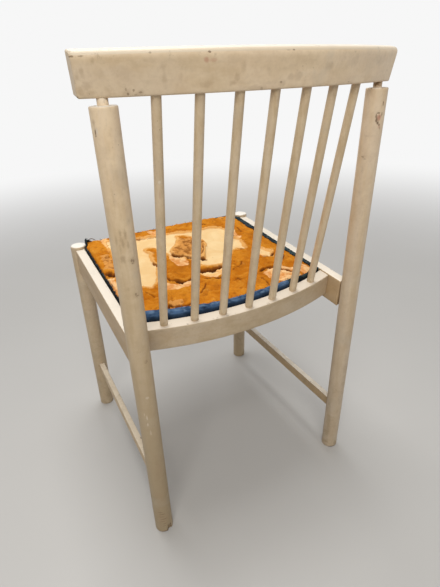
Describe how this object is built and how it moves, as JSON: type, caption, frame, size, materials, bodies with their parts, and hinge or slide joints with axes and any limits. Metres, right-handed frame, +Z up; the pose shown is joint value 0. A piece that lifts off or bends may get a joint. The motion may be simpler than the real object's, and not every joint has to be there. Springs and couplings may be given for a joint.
{
  "type": "painted spindle-back chair",
  "caption": "Worn cream-painted wooden dining chair: round legs, raked spindle back under a curved crest board, bowed rear rail, side stretchers and a drop-in seat of crumbling bare foam.",
  "frame": {"origin": "on the floor, at the middle of the whole chair's box seen from above", "axes": "+X towards the sitter's left, +Y towards the back of the chair, +Z up"},
  "size_m": [0.478, 0.4924, 0.804],
  "materials": {
    "frame_paint": "cream paint over wood, dull, dirty, scuffed and chipped",
    "bare_wood": "unfinished beech",
    "plywood": "unfinished plywood",
    "steel": "dull, lightly rusted",
    "foam": "orange-brown crumbled foam with pale cream breaks",
    "cover_cloth": "blue woven cloth, torn and frayed"
  },
  "bodies": {
    "root": {"rear_leg_left": "frame_paint", "rear_leg_right": "frame_paint", "front_leg_left": "frame_paint", "front_leg_right": "frame_paint", "side_rail_left": "frame_paint", "side_rail_right": "frame_paint", "front_rail": "frame_paint", "rear_rail": "frame_paint", "rear_rail_dowels": "bare_wood", "side_stretcher_left": "frame_paint", "side_stretcher_right": "frame_paint", "crest_rail": "frame_paint", "spindle_1": "frame_paint", "spindle_2": "frame_paint", "spindle_3": "frame_paint", "spindle_4": "frame_paint", "spindle_5": "frame_paint", "spindle_6": "frame_paint", "spindle_7": "frame_paint", "corner_block_front_left": "bare_wood", "corner_block_front_right": "bare_wood", "corner_block_rear_left": "bare_wood", "corner_block_rear_right": "bare_wood", "block_screws": "steel", "seat_screws": "steel", "seat_board": "plywood", "foam_pad": "foam", "seat_cover": "cover_cloth", "cover_staples": "steel"}
  },
  "joints": []
}
